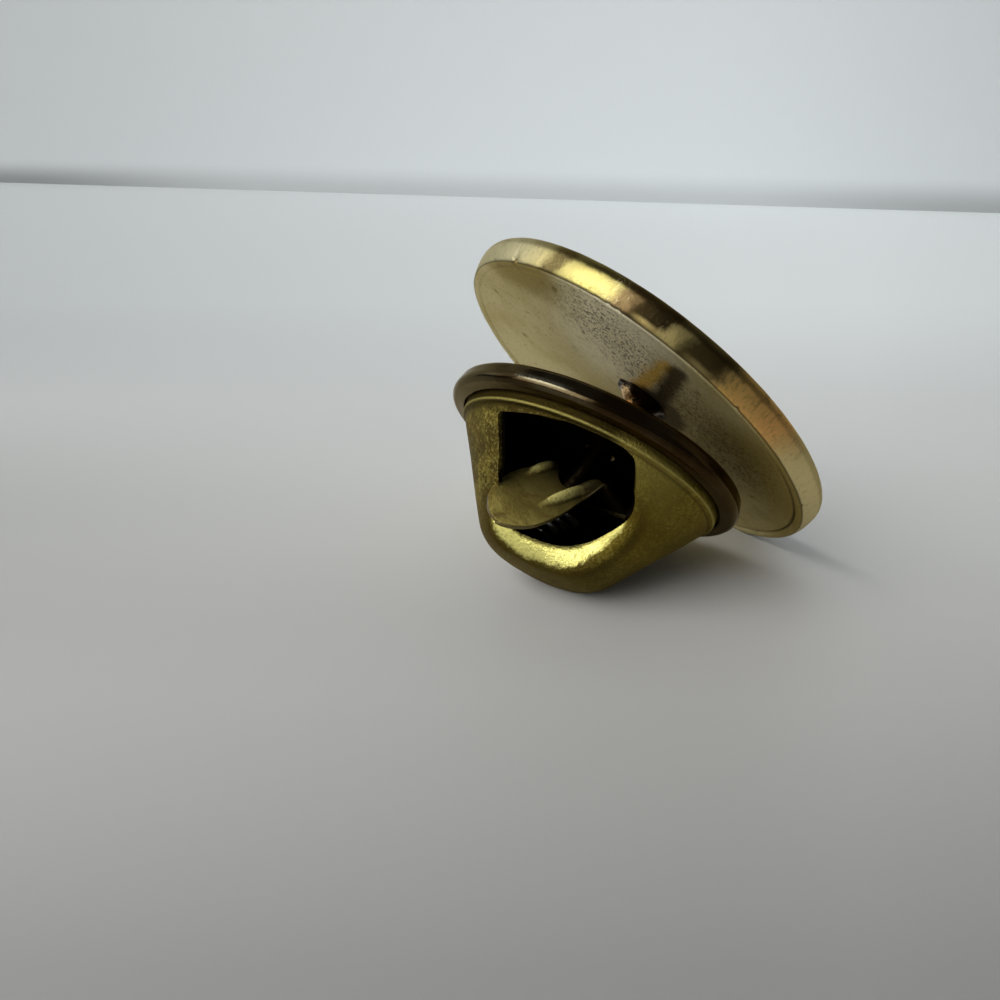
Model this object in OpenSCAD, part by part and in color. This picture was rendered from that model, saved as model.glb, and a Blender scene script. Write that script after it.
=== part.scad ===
// Round lapel pin lying on its rim, with a domed clutch on its post.
// Sizes are in millimetres, +Z is up, and the surface it lies on is z = 0.

/* [Medal] */
// Radius of the flat back, out to its corner
back_r = 8.0; // [7.5:0.1:8.5]
// How far the bulging edge stands out past the back
edge_bulge = 0.2; // [0.1:0.05:0.3]
// Thickness at the edge
medal_t = 1.05; // [0.9:0.05:1.3]
// Depth of the plain field in the front face
front_recess = 0.55; // [0.3:0.05:0.6]
// Width of the raised rim round the front face
front_rim_w = 0.9; // [0.6:0.1:1.5]
// Width of the narrow ledge round the back
ledge_w = 0.26; // [0.2:0.02:0.4]
// Height of that ledge above the back
ledge_h = 0.07; // [0.04:0.01:0.1]

/* [Post] */
// Radius of the post
post_r = 0.5; // [0.45:0.05:0.6]
// Length of the post from the back to its tip
post_l = 6.3; // [6:0.1:6.6]
// Radius of the solder that holds the post
solder_r = 1.15; // [1:0.05:1.3]
// Height of the solder
solder_h = 0.5; // [0.4:0.05:0.6]
// Distance from the back to the notch round the post
notch_at = 1.95; // [1.8:0.05:2]

/* [Clutch base] */
// Outer radius of the base
base_r = 5.8; // [5.5:0.1:6.1]
// Thickness of the sheet it is pressed from
base_sheet = 0.3; // [0.25:0.05:0.35]
// Radius of the hole that the post goes through
base_hole_r = 0.9; // [0.88:0.02:1.2]

/* [Housing] */
// Wall of the housing
wall = 0.42; // [0.36:0.02:0.44]
// Angle of its side to its own axis
side_angle = 34.3; // [33:0.1:35]
// Radius of its rounded shoulder
shoulder_r = 1.8; // [1.7:0.05:1.9]
// Height of the top, where the shoulder ends
top_z = 5.14; // [5.1:0.02:5.2]
// Radius of the round window in its side
window_r = 2.38; // [2.3:0.02:2.46]
// Height of the window's straight edge beside the base
window_top = 1.08; // [1.0:0.02:1.2]

/* [Lever] */
// Half of the tab's width
tab_half_w = 1.12; // [1:0.02:1.16]
// Reach of the tab from the middle of the clutch, along its slope
tab_reach = 5.0; // [4.6:0.1:5.2]
// Slope of the tab towards the top of the housing
tab_tilt = 43; // [40:1:45]
// Twist of the tab about its own length
tab_twist = -23; // [-26:1:-20]
// Thickness of the lever's sheet
lever_sheet = 0.24; // [0.2:0.02:0.28]

/* [Grip spring] */
// Wire radius of the coil that grips the post
wire_r = 0.11; // [0.09:0.01:0.13]
// Number of turns in the coil
coil_turns = 3; // [2:1:4]

/* [Hidden] */
$fn = 96;
eps = 0.01;
// Side of a block larger than the part
space = 40;

// How the medal lies: middle of its back, and the way its back faces
medal_at = [-0.035, -0.12, 5.84];
medal_lean = [0, 131.2, 212.25];
// Where the post stands on the back
post_at = [-1.03, 1.60];
// How the clutch hangs on the post: middle of its base, and the way its top points
clutch_at = [-1.575, -2.65, 4.85];
clutch_lean = [0, 136.8, 229.5];
// Turn of the round shapes about their own axes, which keeps their starting edge off the surface
seam_turn = 250;

corner_round = 0.1;
edge_r = back_r + edge_bulge;
groove_w = 0.1;
groove_d = 0.06;
ledge_in_r = back_r - 0.06 - ledge_w;
tip_l = 0.8;
tip_r = 0.2;
notch_d = 0.1;
notch_w = 0.64;

base_top = -0.23;
hole_round = 0.12;
curl_r = 0.35;
fold_r = 0.3;
fold_z = 0.25;
flange_gap = 0.04;
flange_side_gap = 0.06;
lip_r = 5.17;
lip_z = 0.74;

shoulder_at = [1.21, top_z - shoulder_r];
crown_h = 0.06;
neck_r = 5.11;
neck_z = shoulder_at[1] + (shoulder_at[0] + shoulder_r / cos(side_angle) - neck_r) / tan(side_angle);
flange_r = 5.36;
flange_z0 = base_top + base_sheet + flange_gap;
flange_z1 = flange_z0 + 0.34;
// The window faces this way, and each point of it is given as its place across and its height
window_turn = 155;
window_side = 0.12;
window_mid_z = 2.16;
corner_side = 0.85;
corner_z = 2.85;
corner_r = 1.6;
window_corners = [[-2.05, window_top], [2.95, window_top], [2.45, corner_z], [-2.25, window_mid_z]];

lever_turn = 175;
plate_z = 1.26;
tab_side = 0.2;
tab_round_l = 1.7;
hinge_x = -2.45;
hinge_pin_r = 0.22;
hinge_bore_r = 0.27;
ear_in = 1.3;
ear_t = 0.32;
ear_w = 0.9;
slot_r = 0.68;
barrel_r = 0.34;
plate_half_w = 1.22;
plate_end_x = 0.55;
// Each rib of the tab: from, to and radius
ribs = [[[1.1, -0.45], [2.85, -0.36], 0.17], [[1.0, 0.82], [1.75, 0.95], 0.12]];

coil_start = 5.28;
coil_pitch = 0.32;
coil_r = post_r + wire_r + 0.04;
coil_mouth_r = 1.05;

function arc(c, r, a0, a1, n = 10) =
    [for (i = [0 : n]) let (a = a0 + (a1 - a0) * i / n) [c[0] + r * cos(a), c[1] + r * sin(a)]];

// Outline of the housing's wall, from its wide end over the shoulder to the axis, set in by d
function side_r(z, d) =
    shoulder_at[0] + (shoulder_r - d) / cos(side_angle) + (shoulder_at[1] - z) * tan(side_angle);
function crown(d) =
    [for (i = [1 : 8]) let (x = shoulder_at[0] * (1 - i / 8))
        [x, top_z - d + crown_h * (1 - pow(x / shoulder_at[0], 2))]];
function bell(z0, d) = concat(
    [[side_r(z0, d), z0]],
    arc(shoulder_at, shoulder_r - d, side_angle, 90),
    crown(d));

function reverse(list) = [for (i = [len(list) - 1 : -1 : 0]) list[i]];

module above_surface() {
    intersection() {
        children();
        translate([-space / 2, -space / 2, 0]) cube(space);
    }
}

module place_medal() translate(medal_at) rotate(medal_lean) children();
module place_clutch() translate(clutch_at) rotate(clutch_lean) children();
module place_lever() place_clutch() rotate([0, 0, lever_turn]) children();

// Medal with its soldered post: the back is at z = 0 and the post stands along +z
module medal_disc() {
    rotate_extrude($fn = 180) polygon(concat(
        [[0, 0], [ledge_in_r - groove_w, 0], [ledge_in_r - groove_w, -groove_d],
         [ledge_in_r, -groove_d], [ledge_in_r, ledge_h], [ledge_in_r + ledge_w, ledge_h],
         [ledge_in_r + ledge_w, 0.02]],
        arc([back_r - corner_round, -corner_round], corner_round, 90, 20, 4),
        [[back_r + 0.6 * edge_bulge, -0.3 * medal_t], [edge_r, -0.65 * medal_t]],
        arc([edge_r - corner_round, -medal_t + corner_round], corner_round, 0, -90, 4),
        [[edge_r - front_rim_w, -medal_t],
         [edge_r - front_rim_w - front_recess / 2, -medal_t + front_recess],
         [0, -medal_t + front_recess]]));
}

module solder() {
    rotate_extrude($fn = 64) polygon(concat(
        [[0, -eps], [solder_r, -eps], [solder_r, 0.06]],
        arc([solder_r, solder_h + 0.06], solder_h, 270, 190, 6),
        [[0, solder_h]]));
}

module post() {
    rotate_extrude($fn = 64) polygon([
        [0, -eps], [post_r, -eps],
        [post_r, notch_at], [post_r - notch_d, notch_at + notch_w / 2], [post_r, notch_at + notch_w],
        [post_r, post_l - tip_l], [tip_r + 0.08, post_l - 0.1], [tip_r, post_l], [0, post_l]]);
}

module medal() {
    color("#a89c80")
    above_surface() place_medal() union() {
        rotate([0, 0, seam_turn]) medal_disc();
        translate(post_at) solder();
        translate(post_at) post();
    }
}

// Base of the clutch: a round plate whose edge is folded over the housing's flange
module base_plate() {
    rotate_extrude($fn = 128) polygon(concat(
        [[base_hole_r, base_top + hole_round], [base_hole_r + hole_round, base_top]],
        arc([base_r - curl_r, base_top + curl_r], curl_r, -90, 0, 8),
        arc([base_r - fold_r, fold_z], fold_r, 0, 80, 8),
        [[lip_r + 0.04, lip_z], [lip_r, lip_z - 0.06], [lip_r, flange_z1 + flange_gap],
         [flange_r + flange_side_gap, flange_z1 + flange_gap],
         [flange_r + flange_side_gap, base_top + base_sheet],
         [base_hole_r, base_top + base_sheet]]));
}

module ear() {
    rotate([-90, 0, 0]) linear_extrude(ear_t) union() {
        translate([-ear_w / 2, -plate_z]) square([ear_w, plate_z - base_top - base_sheet / 2]);
        translate([0, -plate_z]) circle(ear_w / 2, $fn = 48);
    }
}

module clutch_base() {
    color("#4f4634")
    difference() {
        union() {
            place_clutch() base_plate();
            place_lever() for (side = [-ear_in - ear_t, ear_in])
                translate([hinge_x, side, 0]) ear();
        }
        place_lever() translate([hinge_x, -3, plate_z])
            rotate([-90, 0, 0]) cylinder(h = 6, r = hinge_bore_r, $fn = 48);
    }
}

// Housing: a bell with a flange, and a round window in its side
module window_cut() {
    rotate([0, 0, window_turn]) rotate([90, 0, 90]) linear_extrude(8) intersection() {
        union() {
            translate([window_side, window_mid_z]) circle(window_r);
            polygon(window_corners);
            translate([corner_side, corner_z]) circle(corner_r);
        }
        translate([-3, window_top]) square([6, 5]);
    }
}

module housing() {
    color("#7d7038")
    above_surface() place_clutch() difference() {
        rotate([0, 0, seam_turn]) rotate_extrude($fn = 128) polygon(concat(
            [[neck_r - wall, flange_z0], [flange_r, flange_z0], [flange_r, flange_z1],
             [neck_r, flange_z1]],
            bell(neck_z, 0), reverse(bell(neck_z + 0.1, wall))));
        window_cut();
    }
}

// Lever: a plate hinged under the base, with a ribbed tab out through the window
function tab_outline() = concat(
    [[0, -tab_half_w]],
    [for (a = [-90 : 7.5 : 90]) [tab_reach - tab_round_l + tab_round_l * cos(a), tab_half_w * sin(a)]],
    [[0, tab_half_w]]);

module rib(from, to, r) {
    d = to - from;
    translate([from[0], from[1], -lever_sheet / 2 + 0.02]) rotate([0, 0, atan2(d[1], d[0])]) {
        rotate([0, 90, 0]) cylinder(h = norm(d), r = r, $fn = 24);
        sphere(r, $fn = 24);
        translate([norm(d), 0, 0]) sphere(r, $fn = 24);
    }
}

module tab() {
    translate([0, 0, plate_z]) rotate([0, -tab_tilt, 0]) rotate([tab_twist, 0, 0])
        translate([0, tab_side, 0]) {
            translate([0, 0, -lever_sheet / 2]) linear_extrude(lever_sheet) polygon(tab_outline());
            for (r = ribs) rib(r[0], r[1], r[2]);
        }
}

module lever() {
    color("#857641")
    difference() {
        place_lever() union() {
            translate([hinge_x, -plate_half_w, plate_z - lever_sheet / 2])
                cube([plate_end_x - hinge_x, 2 * plate_half_w, lever_sheet]);
            tab();
            translate([hinge_x, -plate_half_w, plate_z])
                rotate([-90, 0, 0]) cylinder(h = 2 * plate_half_w, r = barrel_r, $fn = 48);
            translate([hinge_x, -ear_in - ear_t, plate_z])
                rotate([-90, 0, 0]) cylinder(h = 2 * (ear_in + ear_t), r = hinge_pin_r, $fn = 48);
        }
        place_medal() translate(post_at) cylinder(h = 1.5 * post_l, r = slot_r, $fn = 48);
    }
}

// Grip spring: a coil of wire inside the housing, wide at its mouth and close round the post
function coil_point(i, steps) =
    let (a = 360 * i / steps, r = max(coil_r, coil_mouth_r - (coil_mouth_r - coil_r) * i / steps / 2))
    [r * cos(a), r * sin(a), coil_start + coil_pitch * i / steps];

module grip_spring() {
    steps = 20;
    sides = 6;
    n = steps * coil_turns;
    rings = [for (i = [0 : n]) let (p = coil_point(i, steps), a = 360 * i / steps)
        [for (k = [0 : sides - 1]) let (b = 360 * k / sides)
            p + wire_r * (cos(b) * [cos(a), sin(a), 0] + sin(b) * [0, 0, 1])]];
    points = [for (ring = rings) each ring];
    walls = [for (i = [0 : n - 1], k = [0 : sides - 1]) let (m = (k + 1) % sides)
        [i * sides + k, i * sides + m, (i + 1) * sides + m, (i + 1) * sides + k]];
    caps = [[for (k = [sides - 1 : -1 : 0]) k], [for (k = [0 : sides - 1]) n * sides + k]];
    color("#8c8c88") place_medal() translate(post_at) polyhedron(points, concat(walls, caps));
}

medal();
clutch_base();
housing();
lever();
grip_spring();
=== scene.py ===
import math
import bpy
import bmesh
from mathutils import Matrix, Vector, noise


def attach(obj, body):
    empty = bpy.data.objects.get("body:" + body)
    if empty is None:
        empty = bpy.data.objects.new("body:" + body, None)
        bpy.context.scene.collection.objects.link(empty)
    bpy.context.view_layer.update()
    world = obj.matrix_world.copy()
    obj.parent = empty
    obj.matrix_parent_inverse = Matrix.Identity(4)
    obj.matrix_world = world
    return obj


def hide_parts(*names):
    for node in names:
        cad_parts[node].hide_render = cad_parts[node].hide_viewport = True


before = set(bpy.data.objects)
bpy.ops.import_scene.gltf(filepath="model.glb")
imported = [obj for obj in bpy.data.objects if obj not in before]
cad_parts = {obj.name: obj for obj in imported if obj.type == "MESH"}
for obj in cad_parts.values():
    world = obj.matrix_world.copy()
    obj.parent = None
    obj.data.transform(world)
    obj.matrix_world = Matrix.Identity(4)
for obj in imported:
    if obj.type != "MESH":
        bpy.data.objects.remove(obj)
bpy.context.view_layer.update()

print("frame loaded:", ", ".join(sorted(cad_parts)))

# Shapes are given in millimetres, each in its own part's frame, and placed as in the part's source
mm = 0.001
mergeWithin, lowest = 0.0005, 0.000002  # points of a seam, in millimetres; over the table, in metres
pose = {
    "medalAt": (-0.035, -0.12, 5.84), "medalLean": (131.2, 212.25),
    "clutchAt": (-1.575, -2.65, 4.85), "clutchLean": (136.8, 229.5),
    "postAt": (-1.03, 1.60), "leverTurn": 175.0, "plateHeight": 1.26,
    "acrossWindow": (-0.423, -0.906),  # in the clutch's frame, to the left in front
}


def spun(degrees, axis):
    return Matrix.Rotation(math.radians(degrees), 4, axis)


def lean(at, tip, turn):
    return Matrix.Translation(at) @ (spun(turn, "Z") @ spun(tip, "Y"))


medalFrame = lean(pose["medalAt"], *pose["medalLean"])
clutchFrame = lean(pose["clutchAt"], *pose["clutchLean"])
leverFrame = clutchFrame @ spun(pose["leverTurn"], "Z")
postFrame = medalFrame @ Matrix.Translation((*pose["postAt"], 0))


# Modelling: each piece is made at its true size in its own frame, then placed once
def nothingSelected():
    if bpy.context.object and bpy.context.object.mode != "OBJECT":
        bpy.ops.object.mode_set(mode="OBJECT")
    bpy.ops.object.select_all(action="DESELECT")


def take(piece):
    nothingSelected()
    piece.select_set(True)
    bpy.context.view_layer.objects.active = piece


def named(name):
    piece = bpy.context.object
    piece.name = piece.data.name = name
    return piece


def edit(piece, chosen="DESELECT"):
    take(piece)
    bpy.ops.object.mode_set(mode="EDIT")
    bpy.ops.mesh.select_all(action=chosen)


def done():
    bpy.ops.object.mode_set(mode="OBJECT")


def pick(piece, kind, test):
    # selects the verts, edges or faces that pass the test
    mesh = bmesh.from_edit_mesh(piece.data)
    bpy.ops.mesh.select_all(action="DESELECT")
    bpy.ops.mesh.select_mode(type={"verts": "VERT", "edges": "EDGE", "faces": "FACE"}[kind])
    for part in getattr(mesh, kind):
        part.select_set(bool(test(part)))
    mesh.select_flush_mode()
    bmesh.update_edit_mesh(piece.data)


def finishWith(piece, kind, **settings):
    take(piece)
    added = piece.modifiers.new(kind.lower(), kind)
    for key, value in settings.items():
        setattr(added, key, value)
    bpy.ops.object.modifier_apply(modifier=added.name)


def soften(piece, width, segments, angle):
    # rounds the edges that are sharper than the angle
    finishWith(piece, "BEVEL", width=width, segments=segments, limit_method="ANGLE",
               angle_limit=math.radians(angle))


def settle(piece):
    # leaves the object at the origin, unturned, with its place in its mesh
    take(piece)
    bpy.ops.object.transform_apply(location=True, rotation=True, scale=True)


def mended(piece):
    # seams closed and faces outwards
    edit(piece, "SELECT")
    bpy.ops.mesh.remove_doubles(threshold=mergeWithin)
    bpy.ops.mesh.normals_make_consistent(inside=False)
    done()


def drawOut(radius, height, line):
    # draws the selected ring of edges out along (radius, height) points
    for nextRadius, nextHeight in line:
        bpy.ops.mesh.extrude_region_move(TRANSFORM_OT_translate={"value": (0, 0, nextHeight - height)})
        grow = nextRadius / radius
        bpy.ops.transform.resize(value=(grow, grow, 1), center_override=(0, 0, nextHeight))
        radius, height = nextRadius, nextHeight


def turned(name, profile, segments, closed=False):
    # a ring drawn out along its profile, as on a lathe, then capped or closed on itself
    nothingSelected()
    radius, height = profile[0]
    bpy.ops.mesh.primitive_circle_add(vertices=segments, radius=radius, location=(0, 0, height))
    piece = named(name)
    settle(piece)
    edit(piece, "SELECT")
    drawOut(radius, height, profile[1:] + (profile[:1] if closed else []))
    if not closed:
        bpy.ops.mesh.extrude_region_move()
        bpy.ops.mesh.merge(type="CENTER")
        pick(piece, "verts", lambda v: v.index < segments)
        bpy.ops.mesh.extrude_region_move()
        bpy.ops.mesh.merge(type="CENTER")
    done()
    mended(piece)
    return piece


def bow(centre, radius, fromAngle, toAngle, count):
    # points of an arc in a lathe profile
    angles = [math.radians(fromAngle + (toAngle - fromAngle) * i / count) for i in range(count + 1)]
    return [(centre[0] + radius * math.cos(a), centre[1] + radius * math.sin(a)) for a in angles]


def place(piece, where):
    # puts the piece where it goes, in metres, and rests it on the table
    piece.matrix_world = Matrix.Scale(mm, 4) @ where
    settle(piece)
    for vertex in piece.data.vertices:
        vertex.co.z = max(vertex.co.z, lowest)


def join(pieces, name):
    take(pieces[0])
    for piece in pieces:
        piece.select_set(True)
    bpy.ops.object.join()
    return named(name)


def smooth(piece, angle=40):
    take(piece)
    bpy.ops.object.shade_smooth_by_angle(angle=math.radians(angle))


def hump(x, power=2.0):
    # 1 at 0, falling to 0 at 1 and beyond
    return (1 - min(abs(x), 1.0) ** 2) ** power


def ease(x):
    x = min(max(x, 0.0), 1.0)
    return x * x * (3 - 2 * x)


def paint(piece, name, values):
    # one number for each point of the mesh, for a material to read
    layer = piece.data.attributes.get(name) or piece.data.attributes.new(name, "FLOAT", "POINT")
    layer.data.foreach_set("value", values)


# Shader values: maths on them is written as Python, and any other node comes from node()
class Value:
    def __init__(self, tree, socket=None):
        self.tree, self.socket = tree, socket

    def node(self, kind, settings=None, *terms, out=0, **named):
        made = self.tree.nodes.new(kind)
        for key, value in (settings or {}).items():
            if key == "stops":
                ramp = made.color_ramp.elements
                ramp[0].position, ramp[-1].position = value[0][0], value[-1][0]
                for position, colour in value[1:-1]:
                    ramp.new(position)
                for element, (position, colour) in zip(ramp, value):
                    element.color = (*colour, 1)
            else:
                setattr(made, key, value)
        byName = {socket.identifier.replace(" ", ""): socket for socket in made.inputs}
        wanted = [*zip(made.inputs, terms), *((byName[key], value) for key, value in named.items())]
        for socket, value in wanted:
            if isinstance(value, Value):
                self.tree.links.new(value.socket, socket)
            elif socket.type == "RGBA":
                socket.default_value = (*value, 1)
            else:
                socket.default_value = value
        outputs = {socket.identifier: socket for socket in made.outputs}
        return Value(self.tree, outputs[out] if isinstance(out, str) else made.outputs[out])

    def maths(self, operation, *terms):
        return self.node("ShaderNodeMath", {"operation": operation}, *terms)

    def __add__(self, other):
        return self.maths("ADD", self, other)

    def __sub__(self, other):
        return self.maths("SUBTRACT", self, other)

    def __rsub__(self, other):
        return self.maths("SUBTRACT", other, self)

    def __mul__(self, other):
        return self.maths("MULTIPLY", self, other)

    def __truediv__(self, other):
        return self.maths("DIVIDE", self, other)

    def __rtruediv__(self, other):
        return self.maths("DIVIDE", other, self)

    def __pow__(self, other):
        return self.maths("POWER", self, other)

    def __rpow__(self, other):
        return self.maths("POWER", other, self)

    __radd__, __rmul__ = __add__, __mul__

    def larger(self, other):
        return self.maths("MAXIMUM", self, other)

    def smaller(self, other):
        return self.maths("MINIMUM", self, other)

    def above(self, low, high):
        # 0 up to low, 1 from high, smooth between
        return self.node("ShaderNodeMapRange", {"interpolation_type": "SMOOTHSTEP"}, self, low, high)

    def near(self, centre, width):
        # 1 at the centre, 0 from width away
        return 1 - self.maths("ABSOLUTE", self - centre).above(0.0, width)

    def between(self, one, other):
        # a colour from one to the other, by this share
        return self.node("ShaderNodeMix", {"data_type": "RGBA"}, out="Result_Color",
                         Factor_Float=self, A_Color=one, B_Color=other)

    def coated(self, s, *coats):
        # this colour with others laid over it, each by its share
        for share, colour in coats:
            self = share.between(self, s[colour])
        return self

    def grain(self, scale, detail=3.0, rough=0.55, bend=0.0):
        # noise on a place: about 0.5, mostly 0.3 to 0.7
        return self.node("ShaderNodeTexNoise", None, Vector=self, Scale=scale, Detail=detail,
                         Roughness=rough, Distortion=bend)

    def fromLine(self, y, start, end):
        # distance on the flat from a line between two points
        runX, runY = end[0] - start[0], end[1] - start[1]
        share = ((self - start[0]) * runX + (y - start[1]) * runY) / (runX ** 2 + runY ** 2)
        share = share.larger(0.0).smaller(1.0)
        return ((self - start[0] - share * runX) ** 2 + (y - start[1] - share * runY) ** 2) ** 0.5

    def stretched(self, size, turn=(0, 0, 0)):
        return self.node("ShaderNodeMapping", None, Vector=self, Scale=size, Rotation=turn)

    def parts(self):
        return [self.node("ShaderNodeSeparateXYZ", None, self, out=i) for i in range(3)]

    def ramp(self, stops):
        return self.node("ShaderNodeValToRGB", {"stops": stops}, self)

    def painted(self, name):
        # the numbers that paint() left on the mesh
        return self.node("ShaderNodeAttribute", {"attribute_name": name}, out="Fac")


def material(name, where, build):
    # build takes the place on the piece, in millimetres of its own frame, and gives the shader's sockets
    made = bpy.data.materials.new(name)
    made.use_nodes = True
    tree = made.node_tree
    tree.nodes.clear()
    inverse = where.inverted()
    at = Value(tree).node("ShaderNodeTexCoord", None, out=3)
    at = at.node("ShaderNodeMapping", {"vector_type": "POINT"}, Vector=at, Scale=(1 / mm,) * 3,
                 Rotation=tuple(inverse.to_euler()), Location=tuple(inverse.to_translation()))
    shader = at.node("ShaderNodeBsdfPrincipled", None, **build(at))
    tree.links.new(shader.socket, tree.nodes.new("ShaderNodeOutputMaterial").inputs["Surface"])
    return made


def relief(height, depth, strength=1.0):
    # bumps from a height of 0 to 1, depth in millimetres
    return height.node("ShaderNodeBump", None, Height=height, Strength=strength, Distance=depth * mm)


# The medal: a disc with a ledge round its back, a bulging edge and a plain sunken front
medal = {
    "backRadius": 8.0, "edgeRadius": 8.2, "thickness": 1.05,
    "ledgeIn": 7.68, "ledgeOut": 7.94, "ledgeHeight": 0.07, "grooveDepth": 0.06,
    "rimIn": 7.3, "recess": 0.55, "segments": 360, "waves": 0.025,
    # nicks in the edge: angle, depth, half width in degrees
    "nicks": [(182.0, 0.13, 0.9), (149.0, 0.05, 0.7), (152.5, 0.04, 0.9), (171.5, 0.05, 0.8),
              (146.0, 0.04, 1.2), (110.0, 0.04, 1.0), (70.0, 0.05, 0.9), (262.0, 0.04, 1.4),
              (318.0, 0.05, 1.0)],
    "sheen": (0.80, 0.70, 0.48),
    # colours on the back, and the lines that its marks and its painted reflection gather along
    "back": (0.60, 0.52, 0.28), "backWarm": (0.50, 0.42, 0.19), "backDark": (0.25, 0.18, 0.035),
    "backPale": (1.0, 0.93, 0.68), "pit": (0.13, 0.095, 0.032), "glow": (0.78, 0.48, 0.05),
    "soot": (0.035, 0.019, 0.006),
    "paleLine": ((-3.6, 1.7), (-5.9, 3.9)), "pitLine": ((-5.6, 2.4), (1.5, 5.4)),
    "fleckLine": ((-6.0, -4.2), (-4.2, -1.4)), "tintLine": ((-1.6, 1.5), (-4.1, 5.0)),
    "sootLine": ((-0.9, 2.3), (-3.8, 5.4)),
    # colours on the edge, and its finish from the share of the way round
    "streak": (0.06, 0.042, 0.016), "border": (0.36, 0.28, 0.11), "grime": (0.10, 0.07, 0.028),
    "gold": (0.44, 0.38, 0.125), "line": (0.040, 0.024, 0.008), "scratch": (0.95, 0.84, 0.50),
    "edge": [(0.0, (0.50, 0.42, 0.26)), (0.17, (0.66, 0.57, 0.32)), (0.245, (0.72, 0.59, 0.28)),
             (0.262, (0.78, 0.52, 0.20)), (0.275, (0.94, 0.52, 0.17)), (0.318, (0.80, 0.50, 0.15)),
             (0.3255, (0.40, 0.28, 0.10)), (0.329, (0.07, 0.05, 0.018)), (0.354, (0.075, 0.055, 0.02)),
             (0.358, (0.34, 0.28, 0.11)), (0.370, (0.36, 0.29, 0.12)), (0.3745, (0.02, 0.014, 0.006)),
             (0.394, (0.03, 0.021, 0.008)), (0.400, (0.16, 0.11, 0.05)), (0.409, (0.20, 0.14, 0.065)),
             (0.4125, (0.46, 0.40, 0.15)), (0.4545, (0.46, 0.40, 0.15)), (0.459, (0.17, 0.135, 0.055)),
             (0.4705, (0.24, 0.19, 0.08)), (0.475, (0.56, 0.48, 0.22)), (0.511, (0.66, 0.60, 0.37)),
             (0.56, (0.62, 0.57, 0.38)), (1.0, (0.50, 0.42, 0.26))],
}


def makeMedal(s):
    back, edge, thick, rim = s["backRadius"], s["edgeRadius"], s["thickness"], s["rimIn"]
    groove, inner, outer, high = s["grooveDepth"], s["ledgeIn"], s["ledgeOut"], s["ledgeHeight"]
    profile = [(r, 0.0) for r in (0.7, 1.6, 2.6, 3.6, 4.6, 5.6, 6.4, 7.0, 7.35, inner - 0.13)]
    profile += [(inner - 0.09, -0.4 * groove), (inner - 0.05, -groove), (inner - 0.01, -0.5 * groove),
                (inner + 0.02, 0.5 * high), (inner + 0.06, high), (outer - 0.06, high + 0.01),
                (outer - 0.01, 0.7 * high), (back - 0.01, 0.01), (back + 0.03, -0.05)]
    profile += [(back + 0.06, -0.12), (back + 0.11, -0.25), (back + 0.15, -0.4), (edge - 0.02, -0.55),
                (edge, -0.7), (edge - 0.01, -0.84), (edge - 0.04, -0.93), (edge - 0.09, -1.0),
                (edge - 0.15, 0.01 - thick), (edge - 0.22, -thick), (rim + 0.05, -thick),
                (rim - 0.02, 0.02 - thick), (rim - 0.12, 0.2 - thick),
                (rim - 0.24, s["recess"] - 0.03 - thick), (rim - 0.34, s["recess"] - thick),
                (5.0, s["recess"] - thick), (2.5, s["recess"] - thick)]
    piece = turned("medalDisc", profile, s["segments"])
    for vertex in piece.data.vertices:
        p = vertex.co
        radius, angle = math.hypot(p.x, p.y), math.degrees(math.atan2(p.y, p.x)) % 360
        if inner - 0.12 < radius < outer and p.z > -0.1:  # the ledge fades out towards the left
            p.z *= 1 - 0.85 * hump((angle - 205) / 62, 1.5)
        if radius > inner - 0.3:
            wave = 0.6 * noise.noise(p * 0.6) + 0.4 * noise.noise(p * 1.9)
            cut = s["waves"] * wave * ease((radius - inner + 0.3) / 0.4)
            if p.z > -0.35 and radius > outer - 0.1:  # nicks bite the corner between back and edge
                bite = sum(deep * hump((angle - at) / wide) for at, deep, wide in s["nicks"])
                cut -= bite * ease((p.z + 0.35) / 0.3)
            p.x, p.y = p.x * (1 + cut / radius), p.y * (1 + cut / radius)
        elif p.z > -0.1:
            p.z += 0.012 * noise.noise(p * 0.5)
    smooth(piece, 60)
    place(piece, medalFrame)
    return piece


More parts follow.
